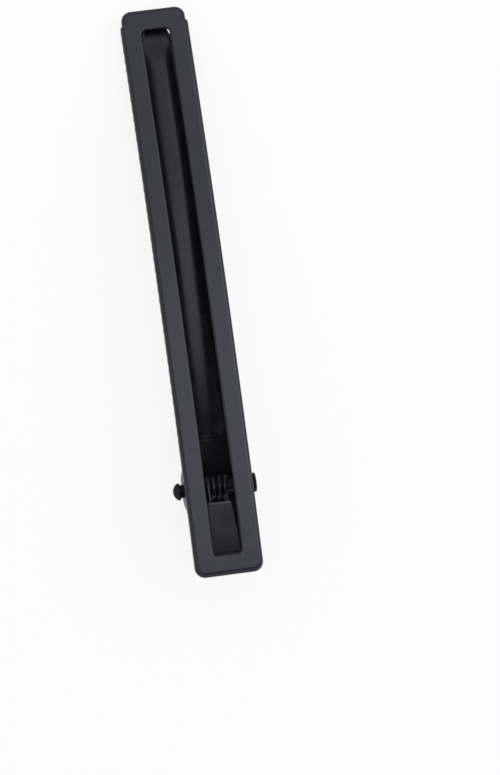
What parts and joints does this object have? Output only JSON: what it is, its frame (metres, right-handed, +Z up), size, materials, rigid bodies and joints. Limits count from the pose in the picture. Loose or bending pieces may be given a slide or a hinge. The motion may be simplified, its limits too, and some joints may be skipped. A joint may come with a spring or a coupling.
{
  "type": "sectioning clip",
  "caption": "Bowed steel sectioning clip: a windowed frame with toothed edges, a nested curved arm, a torsion spring and a rivet; squeezing the thumb plates opens the jaws.",
  "frame": {"origin": "centre of the bounding box at its base, on the surface that the clip lies on at rest", "axes": "+X runs along the clip from the thumb plates to the tip, +Y across it towards the rivet's domed head, +Z up with the toothed frame on top"},
  "size_m": [0.1136, 0.0166, 0.0155],
  "materials": {
    "jaw_steel": "satin gunmetal coating on pressed steel sheet",
    "spring_wire": "drawn and coiled spring wire, dark satin",
    "rivet_steel": "dark coated steel, slightly glossier on the domed head"
  },
  "bodies": {
    "frame": {"toothed_frame": "jaw_steel", "rivet": "rivet_steel", "torsion_spring": "spring_wire"},
    "arm": {"curved_arm": "jaw_steel"}
  },
  "joints": [
    {"name": "arm_pivot", "type": "hinge", "parent": "frame", "child": "arm", "pos_m": [-0.03938, -0.0005, 0.00989], "axis": [0, 1, 0], "range_deg": [0, 38], "stiffness_Nm_per_rad": 0.08, "springref_deg": -57.3, "deforming": ["torsion_spring"]}
  ]
}
